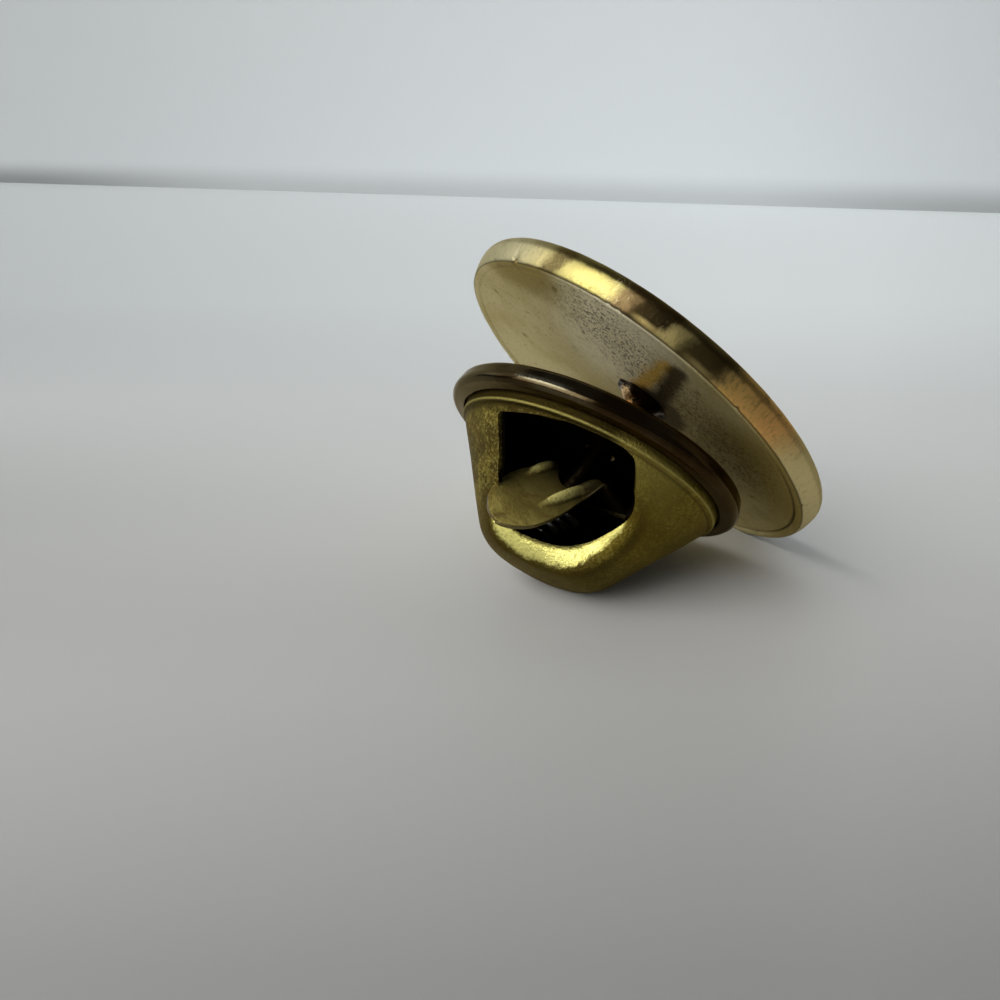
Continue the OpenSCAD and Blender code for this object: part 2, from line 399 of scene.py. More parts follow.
def medalFinish(at):
    s = medal
    x, y, z = at.parts()
    radius = (x * x + y * y) ** 0.5
    broad, middle = at.grain(0.32, 3.0), at.grain(1.5, 4.0, 0.6)
    fine, speck = at.grain(9.0, 3.0, 0.7), at.grain(8.0, 2.0, 0.5, 1.2)
    # back: champagne plating, browner to the right and in a stain by the edge
    onBack = z.above(-0.25, -0.1)
    brown = (y + middle * 2.4 - 1.2).above(2.8, 6.6) * (x + 4.2).above(0.0, 4.5)
    stain = (1 - ((x + 7.4) ** 2 + (y + 0.2) ** 2 * 0.35 + middle * 1.6 - 0.8).above(0.2, 3.0)) * 0.75
    # a pale band painted where the back mirrors the bright table: painted reflection
    paleReflection = 1 - (x.fromLine(y, *s["paleLine"]) + middle * 1.4 - 0.7).above(0.7, 3.4)
    # worm-like pits, thickest above the post, with spots, and flecks to the left below
    field = 1 - x.fromLine(y, *s["pitLine"]).above(0.4, 3.0)
    pits = (speck + 0.065 * field + 0.04 * middle).above(0.60, 0.65) * (0.3 + 0.7 * field)
    worms = at.stretched((2.2, 5.5, 5.5)).grain(3.2, 2.0, 0.6, 2.0).near(0.5, 0.035)
    worms = worms * field * middle.above(0.46, 0.58)
    spots = middle.above(0.60, 0.67) * at.grain(0.9, 1.0).above(0.46, 0.60) * 0.7
    below = 1 - x.fromLine(y, *s["fleckLine"]).above(0.3, 2.4)
    flecks = at.grain(3.4, 5.0, 0.75).above(0.56, 0.64) * below * 0.6
    marks = (pits + worms * 0.8 + spots + flecks).smaller(1.0) * onBack
    # heat tint round the solder, and a dark streak running from the post that is partly soot and partly a
    # painted reflection of the post
    tint = 1 - (x.fromLine(y, *s["tintLine"]) + (middle - 0.5) * 0.9).above(0.05, 0.55)
    soot = 1 - (x.fromLine(y, *s["sootLine"]) + (middle - 0.5) * 0.6).above(0.12, 0.62)
    solder = 1 - (((x + 0.8) ** 2 + (y - 2.3) ** 2) ** 0.5 + middle * 0.8 - 0.4).above(1.0, 1.5)
    colour = broad.above(0.40, 0.62).between(s["back"], s["backWarm"]).coated(
        s, (brown * onBack * 0.9, "backDark"), (stain * onBack, "backDark"),
        (paleReflection * onBack * 0.9, "backPale"), (marks * 0.7, "pit"), (tint * onBack * 0.8, "glow"),
        (solder.larger(soot) * onBack * 0.92, "soot"))
    # edge: gold where it is rubbed, dark patches where it isn't
    turn = y.maths("FRACT", y.maths("ARCTAN2", y, x) / (2 * math.pi) + 1.0)
    streaks = at.stretched((3.5, 3.5, 0.5)).grain(3.2, 4.0, 0.7)
    ragged = turn - (z + 0.5) * 0.009 + (middle - 0.5) * 0.016 + (streaks - 0.5) * 0.006
    border = z.maths("ABSOLUTE", z + 0.48 + (middle - 0.5) * 0.15).above(0.24, 0.38)
    patch = turn.near(0.342, 0.018).larger(turn.near(0.385, 0.016))
    rubbed = turn.near(0.4335, 0.026)
    # a dark line painted along the front side of the edge: painted reflection
    frontEdgeReflection = ((middle - 0.5) * 0.25 - z).above(0.62, 0.76) * turn.near(0.39, 0.20).larger(0.3)
    scribble = speck.near(0.5, 0.035) * ragged.near(0.466, 0.012)
    scratch = at.stretched((9.0, 2.0, 1.2), (0.4, 0.3, 0.9)).grain(1.3, 1.0).near(0.5, 0.009)
    scratch = scratch * turn.near(0.415, 0.016).larger(0.03)
    band = ragged.ramp(s["edge"]).coated(
        s, (streaks.above(0.50, 0.68) * 0.3, "streak"), (border * patch * 0.75, "border"),
        (middle.above(0.58, 0.70) * 0.4, "grime"), (rubbed * 0.85, "gold"), (frontEdgeReflection * 0.9, "line"),
        (scribble, "line"), (scratch * 0.7, "scratch"))
    onEdge = radius.above(7.93, 8.0)
    # darker in the groove and along the corner: dirt and painted shade
    groove = radius.near(7.61, 0.10) * (y * 0.6 + x * 0.4).above(-2.5, 2.0)
    thick = 0.4 + 0.6 * (y * 0.5 - x * 0.3).above(-2.0, 3.0)
    dirt = groove.larger(radius.near(7.97, 0.05)) * thick * onBack
    colour = onEdge.between(colour, band).coated(s, (dirt * 0.85, "line"))
    gloss = 0.42 + 0.20 * fine + 0.12 * marks - onEdge * (0.10 + 0.12 * rubbed)
    bumps = relief(fine * 0.45 + middle * 0.3 - marks * 0.3 + streaks * 0.2 * onEdge, 0.022, 0.85)
    metal = 1.0 - 0.3 * onBack * (1 - onEdge) * (1 - marks)
    return {"BaseColor": colour, "Metallic": metal, "Roughness": gloss, "SpecularTint": s["sheen"],
            "Normal": bumps}


# The post: soldered to the back with a lump of solder, with a shallow notch and a rounded point
post = {
    "radius": 0.5, "length": 6.3, "solderRadius": 1.05, "solderHeight": 0.52, "notchAt": 1.95,
    "notchDepth": 0.1, "notchWidth": 0.64, "segments": 72,
    # the solder in section: share of its radius, height
    "foot": [(1.02, -0.02), (1.0, 0.03), (0.95, 0.07), (0.88, 0.10), (0.80, 0.13), (0.72, 0.18),
             (0.63, 0.25), (0.55, 0.33), (0.48, 0.42), (0.42, 0.48)],
    "shaft": (0.06, 0.042, 0.026), "shaftDark": (0.035, 0.025, 0.016), "upper": (0.016, 0.011, 0.006),
    "solder": (0.05, 0.026, 0.010), "copper": (0.95, 0.62, 0.30),
}


def makePost(s):
    r, high, notch, wide, tip = s["radius"], s["solderHeight"], s["notchAt"], s["notchWidth"], s["length"]
    foot = [(s["solderRadius"] * k, height) for k, height in s["foot"]]
    shaft = [(r, high), (r, 0.8), (r, 1.2), (r, 1.6), (r, notch - 0.03)]
    shaft += [(r - s["notchDepth"] * hump(k), notch + wide * (k + 1) / 2)
              for k in (-0.8, -0.5, -0.2, 0.2, 0.5, 0.8)]
    shaft += [(r, notch + wide + 0.03), (r, 3.4), (r, 4.2), (r, 5.0), (r, tip - 0.85),
              (r - 0.015, tip - 0.78), (0.29, tip - 0.14), (0.22, tip - 0.05), (0.12, tip)]
    piece = turned("post", foot + shaft, s["segments"])
    for vertex in piece.data.vertices:  # the solder is a lump that ran by hand
        p = vertex.co
        if p.z < high + 0.15:
            angle = math.atan2(p.y, p.x)
            lump = ease((high + 0.15 - p.z) / 0.4)
            uneven = 0.10 * math.sin(2 * angle + 0.6) + 0.07 * math.sin(3 * angle + 2.0)
            k = 1 + lump * (uneven + 0.16 * noise.noise(p * 2.0))
            p.x, p.y = p.x * k, p.y * k
            p.z += 0.10 * lump * noise.noise(p * 2.6 + Vector((4, 0, 0))) * ease(p.z / 0.1)
    smooth(piece, 50)
    place(piece, postFrame)
    return piece


def postFinish(at):
    s = post
    x, y, z = at.parts()
    middle, fine = at.grain(1.6, 4.0, 0.6), at.grain(8.0, 3.0, 0.65)
    lines = at.stretched((0.4, 0.4, 6.0)).grain(2.5, 2.0)
    low = 1 - (z + middle * 0.6 - 0.3).above(0.45, 0.95)
    # a bright spot on the front of the solder, partly its copper colour and partly a painted glint
    front = 1 - ((x + 0.5) ** 2 + (y + 0.3) ** 2).above(0.0, 0.5)
    bright = low * (fine * 0.6 + middle * 0.2 + 0.35 * front).above(0.62, 0.72)
    # the post's upper part, inside the clutch, is painted near black: painted shade
    colour = middle.above(0.42, 0.64).between(s["shaft"], s["shaftDark"]).coated(
        s, (z.above(1.8, 2.3), "upper"), (low, "solder"), (bright, "copper"))
    return {"BaseColor": colour, "Metallic": 1.0, "Roughness": 0.20 + 0.16 * fine + 0.05 * lines,
            "Normal": relief(middle * 0.55 + fine * 0.35 + lines * 0.1, 0.06, 1.0)}


# The clutch's base: a plate folded over the housing's flange, with two ears for the lever's pin
base = {
    "radius": 5.8, "hole": 0.60, "holeAt": (-0.081, 0.284), "sheet": 0.3, "top": -0.23, "lipRadius": 5.17,
    "lipHeight": 0.66, "slotRadius": 5.42, "slotHeight": 0.49, "segments": 288,
    "earAt": -2.45, "earIn": 1.3, "earThick": 0.32, "earWidth": 0.9, "bore": 0.27, "earSides": 48,
    "bronze": (0.074, 0.060, 0.032), "dark": (0.036, 0.024, 0.010), "worn": (0.16, 0.125, 0.07),
    "fleck": (0.02, 0.014, 0.008), "brown": (0.040, 0.020, 0.006), "streak": (0.32, 0.29, 0.20),
    "under": (0.012, 0.009, 0.004), "sheen": (0.85, 0.76, 0.60),
}


def makeBase(s):
    r, top, low, hole = s["radius"], s["top"], s["top"] + s["sheet"], s["hole"]
    lip, high = s["lipRadius"], s["lipHeight"]
    profile = [(hole, low), (hole, top + 0.12), (hole + 0.04, top + 0.04), (hole + 0.12, top), (1.3, top),
               (2.0, top), (3.2, top), (4.4, top), (5.1, top)]
    profile += bow((r - 0.30, top + 0.24), 0.24, -90, -4, 8)
    profile += [(r - 0.045, 0.08), (r - 0.02, 0.18), (r, 0.28)]
    profile += bow((r - 0.26, 0.32), 0.26, 4, 78, 8)
    profile += [(lip + 0.24, high - 0.10), (lip + 0.12, high - 0.03), (lip + 0.04, high - 0.03),
                (lip, high - 0.09), (lip, s["slotHeight"]), (s["slotRadius"], s["slotHeight"]),
                (s["slotRadius"], low), (4.0, low), (2.4, low), (1.3, low)]
    ring = turned("baseRing", profile, s["segments"], closed=True)
    for vertex in ring.data.vertices:
        p = vertex.co
        radius = math.hypot(p.x, p.y)
        if radius < 2.4:  # the hole sits where the post goes through
            share = 1 - ease((radius - hole) / (2.3 - hole))
            p.x, p.y = p.x + s["holeAt"][0] * share, p.y + s["holeAt"][1] * share
        elif radius > 5.0:
            k = 1 + 0.012 * noise.noise(p * 0.7) / radius + 0.006 * noise.noise(p * 3.0) / radius
            p.x, p.y = p.x * k, p.y * k
    smooth(ring, 50)
    place(ring, clutchFrame)
    return ring


def makeEar(s, side, name):
    # a ring drawn down to the plate in an arch, thickened and bevelled
    nothingSelected()
    bpy.ops.mesh.primitive_circle_add(vertices=s["earSides"], radius=s["bore"], location=(0, 0, 0))
    piece = named(name)
    edit(piece, "SELECT")
    grow = s["earWidth"] / 2 / s["bore"]
    foot = s["top"] + s["sheet"] - pose["plateHeight"]
    bpy.ops.mesh.extrude_region_move()
    bpy.ops.transform.resize(value=(grow, grow, 1), center_override=(0, 0, 0))
    pick(piece, "edges", lambda e: min(v.co.length for v in e.verts) > 0.4
         and max(v.co.y for v in e.verts) < 0.01)
    bpy.ops.mesh.extrude_region_move()
    bpy.ops.transform.resize(value=(1, 0, 1), center_override=(0, foot, 0))
    done()
    mended(piece)
    finishWith(piece, "SOLIDIFY", thickness=s["earThick"], offset=0)
    soften(piece, 0.04, 3, 50)
    smooth(piece)
    upright = Matrix(((1, 0, 0, s["earAt"]), (0, 0, 1, side * (s["earIn"] + s["earThick"] / 2)),
                      (0, 1, 0, pose["plateHeight"]), (0, 0, 0, 1)))
    mirrored = upright @ Matrix.Scale(-1, 4, (1, 0, 0))  # keeps the frame right-handed
    place(piece, leverFrame @ mirrored)
    return piece


def acrossWindow(x, y):
    # how far across the window, in millimetres
    return x * pose["acrossWindow"][0] + y * pose["acrossWindow"][1]


def baseFinish(at):
    s = base
    x, y, z = at.parts()
    broad, middle, fine = at.grain(0.5, 3.0), at.grain(2.2, 4.0, 0.6), at.grain(10.0, 3.0, 0.7)
    brushed = at.stretched((0.6, 0.6, 7.0)).grain(2.0, 3.0, 0.6)
    across = acrossWindow(x, y)
    # the ring is painted darker brown towards the right: painted shade
    rightShade = 1 - (across + middle - 0.5).above(-2.5, 2.5)
    radius = (x * x + y * y) ** 0.5
    # a bright streak painted along the ring's top corner, stronger to one side: painted highlight
    line = z.near(0.27, 0.15) * radius.above(5.4, 5.5)
    worn = (across.near(1.6, 1.9) * 0.7 + middle * 0.5 + fine * 0.4 - 0.45).above(0.25, 0.55)
    # the plate's inner face, inside the housing, is painted near black and rougher: painted shade
    under = z.above(-0.02, 0.05) * (1 - radius.above(4.9, 5.2))
    colour = broad.above(0.38, 0.60).between(s["bronze"], s["dark"]).coated(
        s, (middle.above(0.56, 0.70) * 0.3, "worn"), (fine.above(0.60, 0.72) * 0.4, "fleck"),
        (rightShade * 0.7, "brown"), (line * worn * 0.95, "streak"), (under * 0.75, "under"))
    gloss = 0.09 + 0.10 * fine + 0.06 * middle + 0.25 * under
    return {"BaseColor": colour, "Metallic": 1.0, "Roughness": gloss, "SpecularTint": s["sheen"],
            "Normal": relief(fine * 0.4 + middle * 0.35 + brushed * 0.25, 0.008, 0.8)}


# The housing: a bell of sheet brass with a window pressed into its side, whose lower lip is rolled in
dome = {
    "crownRadius": 1.21, "crownHeight": 0.06, "top": 5.14, "shoulder": 1.8, "sideAngle": 34.3,
    "neck": 5.11, "flange": 5.36, "flangeHeight": 0.11, "sheet": 0.28,
    "across": 240, "rings": 34, "roll": 10, "bead": 7, "windowTurn": 155.0, "windowMiddle": (0.0, 2.9),
    # round the window: across, height, how deep the lip is rolled in, how wide the roll is
    "window": [(2.98, 1.30, 0.0, 0.15), (2.61, 1.23, 0.0, 0.15), (2.15, 1.19, 0.0, 0.15),
               (1.63, 1.14, 0.0, 0.15), (1.12, 1.10, 0.0, 0.15), (0.34, 1.05, 0.0, 0.15),
               (-0.56, 1.04, 0.0, 0.15), (-1.28, 1.04, 0.0, 0.15), (-1.75, 1.07, 0.0, 0.15),
               (-2.02, 1.17, 0.0, 0.15), (-2.20, 1.40, 0.0, 0.15), (-2.37, 1.76, 0.0, 0.15),
               (-2.47, 2.05, 0.0, 0.2), (-2.57, 2.26, 0.05, 0.25), (-2.61, 2.44, 0.10, 0.3),
               (-2.63, 2.65, 0.18, 0.42), (-2.56, 2.92, 0.28, 0.58), (-2.41, 3.24, 0.38, 0.75),
               (-2.21, 3.62, 0.52, 0.88), (-1.97, 4.01, 0.68, 0.92), (-1.53, 4.43, 0.8, 0.92),
               (-0.92, 4.84, 0.8, 0.95), (-0.33, 5.02, 0.78, 1.0), (0.23, 5.03, 0.72, 1.05),
               (0.81, 4.95, 0.64, 1.05), (1.33, 4.73, 0.52, 0.98), (1.78, 4.26, 0.38, 0.8),
               (2.06, 3.85, 0.25, 0.55), (2.12, 3.44, 0.10, 0.35), (2.29, 2.94, 0.0, 0.15),
               (2.50, 2.36, 0.0, 0.15), (2.77, 1.79, 0.0, 0.15)],
    "brass": (0.31, 0.255, 0.055), "dull": (0.085, 0.062, 0.016), "pale": (0.50, 0.43, 0.13),
    "rubbed": (1.0, 0.93, 0.30), "brown": (0.15, 0.095, 0.02), "warm": (0.22, 0.155, 0.010),
    "dirt": (0.05, 0.036, 0.008), "crown": (0.075, 0.055, 0.008), "neckDirt": (0.036, 0.026, 0.006),
    "fold": (0.07, 0.048, 0.010), "inside": (0.010, 0.008, 0.004), "sheen": (0.90, 0.80, 0.60),
}


class BellSheet:
    # the bell's outer face laid out flat round its top, as distance from the top and direction
    def __init__(self, s):
        crown = [(s["crownRadius"] * i / 6, s["top"] + s["crownHeight"] * (1 - (i / 6) ** 2))
                 for i in range(7)]
        bend = bow((s["crownRadius"], s["top"] - s["shoulder"]), s["shoulder"], 90, s["sideAngle"], 24)
        last, slope = bend[-1], math.tan(math.radians(s["sideAngle"]))
        side = [(last[0] + (s["neck"] - last[0]) * i / 20, last[1] - (s["neck"] - last[0]) * i / 20 / slope)
                for i in range(1, 21)]
        self.line = crown + bend[1:] + side
        self.along = [0.0]
        for one, other in zip(self.line, self.line[1:]):
            self.along.append(self.along[-1] + math.dist(one, other))
        self.reach = self.along[-1]

    def outline(self, distance):
        # radius and height there, and the way the face looks
        distance = min(max(distance, 1e-6), self.reach)
        i = next(k for k in range(1, len(self.along)) if self.along[k] >= distance - 1e-9)
        one, other = self.line[i - 1], self.line[i]
        share = (distance - self.along[i - 1]) / (self.along[i] - self.along[i - 1])
        step = Vector((other[0] - one[0], other[1] - one[1])).normalized()
        return one[0] + (other[0] - one[0]) * share, one[1] + (other[1] - one[1]) * share, -step.y, step.x

    def flat(self, across, height, turn):
        i = next(k for k in range(1, len(self.line)) if self.line[k][1] <= height)
        share = (self.line[i - 1][1] - height) / (self.line[i - 1][1] - self.line[i][1])
        distance = self.along[i - 1] + share * (self.along[i] - self.along[i - 1])
        radius = self.outline(distance)[0]
        angle = turn + math.atan2(across, math.sqrt(max(radius * radius - across * across, 0.01)))
        return Vector((distance * math.cos(angle), distance * math.sin(angle)))

    def point(self, flat, depth):
        angle = math.atan2(flat.y, flat.x)
        radius, height, outX, outZ = self.outline(flat.length)
        radius -= depth * outX
        return Vector((radius * math.cos(angle), radius * math.sin(angle), height - depth * outZ))


def evenLoop(points, count):
    # a smooth closed line through the points, cut into even steps
    points = [Vector(p) for p in points]
    fine = []
    for i in range(len(points)):
        a, b, c, d = (points[(i + k - 1) % len(points)] for k in range(4))
        square, cube = 2 * a - 5 * b + 4 * c - d, 3 * b - a - 3 * c + d
        fine += [0.5 * (2 * b + (c - a) * t + square * t * t + cube * t ** 3)
                 for t in (k / 16 for k in range(16))]
    lengths = [0.0]
    for i, here in enumerate(fine):
        lengths.append(lengths[-1] + (fine[(i + 1) % len(fine)] - here).xy.length)
    out, j = [], 0
    for i in range(count):
        target = lengths[-1] * i / count
        while lengths[j + 1] < target:
            j += 1
        share = (target - lengths[j]) / max(lengths[j + 1] - lengths[j], 1e-9)
        out.append(fine[j].lerp(fine[(j + 1) % len(fine)], share))
    return out


def makeDome(s):
    sheet, turn = BellSheet(s), math.radians(s["windowTurn"])
    border = evenLoop([(*sheet.flat(across, height, turn), deep, wide)
                       for across, height, deep, wide in s["window"]], s["across"])
    middle = sheet.flat(*s["windowMiddle"], turn)
    # the rolled lip in section: how far from the edge and how deep, as shares
    gone, depth, section = 0.0, 0.0, [(0.0, 0.0)]
    for i in range(s["roll"]):
        share = (i + 0.5) / s["roll"]
        slope = math.radians(90 - 38 * ease(share / 0.2) - 10 * share - 42 * ease((share - 0.78) / 0.22))
        gone, depth = gone + math.cos(slope), depth + math.sin(slope)
        section.append((gone, depth))
    section = [(one / gone, 1 - other / depth) for one, other in section]
    # a grid wrapped round the window, its first rows the rolled lip and its last the bead by the base
    beadRow = s["rings"] - s["bead"]
    nothingSelected()
    bpy.ops.mesh.primitive_grid_add(x_subdivisions=s["across"], y_subdivisions=s["rings"], size=1)
    piece = named("domeShell")
    lip, fold = [], []
    for vertex in piece.data.vertices:
        column = round((vertex.co.x + 0.5) * s["across"]) % s["across"]
        row = round((vertex.co.y + 0.5) * s["rings"])
        x, y, deep, wide = border[column]
        start = Vector((x, y))
        ray = (start - middle).normalized()
        along = start.dot(ray)
        length = math.sqrt(max(along * along - start.length_squared + sheet.reach ** 2, 0)) - along
        deep, wide = max(deep, 0.0), min(max(wide, 0.1), 0.55 * length)
        tail = min(0.5, 0.3 * length)
        if row <= s["roll"]:
            gone, depth = wide * section[row][0], deep * section[row][1]
        elif row < beadRow:
            gone, depth = wide + (length - tail - wide) * (row - s["roll"]) / (beadRow - s["roll"]), 0.0
        else:
            gone, depth = length - tail * ((s["rings"] - row) / s["bead"]) ** 1.3, 0.0
        flat = start + ray * gone
        rim = sheet.reach - flat.length
        depth -= 0.05 * hump((rim - 0.10) / 0.12) - 0.035 * hump((rim - 0.27) / 0.12)
        dent = 0.035 * noise.noise(Vector((*flat, 0)) * 0.45) + 0.008 * noise.noise(Vector((*flat, 3)) * 2.2)
        vertex.co = sheet.point(flat, depth - dent * ease(gone / 0.5) * ease(rim / 0.6))
        lip.append(max(0.0, 1 - gone / max(wide, 0.01)) * min(deep / 0.35, 1.0))
        # how dark the band just beyond the rolled lip is painted: painted shade
        fold.append(hump((gone - wide) / 0.55) * min(deep / 0.35, 1.0))
    paint(piece, "lip", lip)
    paint(piece, "fold", fold)
    mended(piece)
    # the neck and flange that the base holds
    edit(piece)
    pick(piece, "edges", lambda e: e.is_boundary and all(
        abs(math.hypot(v.co.x, v.co.y) - s["neck"]) < 0.08 and v.co.z < 0.95 for v in e.verts))
    drawOut(s["neck"], sheet.line[-1][1], [(s["neck"], 0.62), (s["neck"], s["flangeHeight"] + 0.36),
                                           (s["flange"], s["flangeHeight"] + 0.34)])
    done()
    mended(piece)
    outerCount = len(piece.data.vertices)
    finishWith(piece, "SOLIDIFY", thickness=s["sheet"], offset=-1, use_even_offset=False)
    paint(piece, "inside", [float(i >= outerCount) for i in range(len(piece.data.vertices))])
    soften(piece, 0.05, 2, 55)
    finishWith(piece, "SUBSURF", levels=1, render_levels=1)
    smooth(piece, 60)
    place(piece, clutchFrame)
    return piece


def domeFinish(at):
    s = dome
    x, y, z = at.parts()
    broad, middle = at.grain(0.55, 3.0), at.grain(1.9, 4.0, 0.6)
    fine, speck = at.grain(11.0, 3.0, 0.7), at.grain(7.5, 4.0, 0.75)
    lip, fold, inside = at.painted("lip"), at.painted("fold"), at.painted("inside")
    # the crown, where the housing meets the table, is painted darker: painted shade
    crown = z.above(3.2, 4.7)
    # the neck under the base ring, on the window side, is painted near black: painted shade
    neck = 1 - (z + (middle - 0.5) * 0.3).above(0.95, 1.35)
    across = acrossWindow(x, y)
    aside = across.above(-2.0, -1.0)
    # the right flank is painted paler low down, duller high up and warmer and darker: painted light and shade
    lowRightLight = (1 - aside) * across.above(-4.3, -3.2) * (1 - z.above(1.1, 2.6))
    highRightShade = (1 - across.above(-3.4, -2.2)) * z.above(0.9, 1.4)
    # the crease line and the part under the ring, for painted shade
    crease = z.near(1.03, 0.06) + (1 - z.above(0.70, 0.80))
    # the lip is rubbed and painted bright, less to the right, with its innermost edge back to brass: wear and
    # a painted highlight
    worn = lip + (speck - 0.5) * 0.4 + (middle - 0.5) * 0.4 - (1 - across.above(-2.6, -0.9)) * 0.35
    worn = worn.above(0.30, 0.56)
    # the inner face of the sheet is painted near black and rougher: painted shade
    dark = inside.above(0.3, 0.7)
    colour = (broad + (middle - 0.5) * 0.5).above(0.38, 0.62).between(s["brass"], s["dull"]).coated(
        s, (speck.above(0.49, 0.58) * 0.8, "dull"), ((1 - speck.above(0.38, 0.46)) * 0.6, "pale"),
        (fine.above(0.50, 0.60) * 0.7, "dirt"), (at.grain(0.9, 4.0, 0.65).above(0.50, 0.64) * 0.45, "brown"),
        (crown * 0.75, "crown"), (neck * aside * 0.97, "neckDirt"), (lowRightLight * 0.55, "pale"),
        (highRightShade * 0.35, "dull"), ((1 - aside) * (1 - crown) * 0.45, "warm"),
        # a pale band just under the ring is a painted highlight along the flare's ridge; the crease and the
        # band beyond the rolled lip are painted dark: painted shade
        (z.near(0.90, 0.07) * 0.6, "pale"), (crease.smaller(1.0) * 0.6, "dirt"), (fold * 0.75, "fold"),
        (worn * 0.95, "rubbed"), (lip.above(0.90, 0.98) * worn * 0.5, "brass"),
        (speck.above(0.52, 0.66) * worn * 0.35, "dull"), (dark * 0.93, "inside"))
    gloss = 0.32 + 0.18 * fine + 0.10 * speck - 0.15 * worn + 0.2 * dark
    return {"BaseColor": colour, "Metallic": 1.0, "Roughness": gloss, "SpecularTint": s["sheen"],
            "Normal": relief((fine * 0.5 + speck * 0.4 + middle * 0.1) * (1 - worn * 0.35), 0.09, 1.0)}


# The lever: a plate on its pin, bent out through the window as a ribbed tab
lever = {
    "hingeAt": -2.45, "plateHalf": 1.2, "barrel": 0.34, "pin": 0.22, "pinHalf": 1.62, "slot": 0.68,
    "bendAt": -0.6, "shift": 0.75, "pull": 0.75, "tilt": 43.0, "twist": -23.0, "side": 0.2, "sheet": 0.17,
    "columns": 150, "rows": 46, "rodSides": 48,
    # outline of the tab: along, one edge, other edge
    "outline": [(0.95, -1.02, 1.06), (1.4, -1.04, 1.17), (2.0, -1.08, 1.31), (2.55, -1.10, 1.37),
                (3.26, -1.09, 1.29), (3.7, -1.04, 1.19), (4.08, -0.98, 1.07), (4.4, -0.86, 0.91),
                (4.67, -0.70, 0.71), (4.85, -0.57, 0.56), (5.0, -0.43, 0.39), (5.10, -0.29, 0.22),
                (5.16, -0.12, 0.03)],
    # ribs: from along, across, to along, across, half width, height
    "ribs": [(3.04, -0.40, -0.5, -0.80, 0.21, 0.32), (2.15, 1.0, -0.3, 0.84, 0.18, 0.26)],
    "brass": (0.78, 0.63, 0.17), "dull": (0.52, 0.41, 0.10), "brown": (0.30, 0.19, 0.05),
    "rubbed": (1.0, 0.91, 0.32), "pale": (0.50, 0.42, 0.18), "deep": (0.028, 0.020, 0.006),
    "cutEdge": (0.05, 0.032, 0.010),
}


def outlineAt(outline, along):
    for one, other in zip(outline, outline[1:]):
        if along <= other[0]:
            share = max(0.0, (along - one[0]) / (other[0] - one[0]))
            return [one[k] + (other[k] - one[k]) * share for k in (1, 2)]
    return outline[-1][1:]


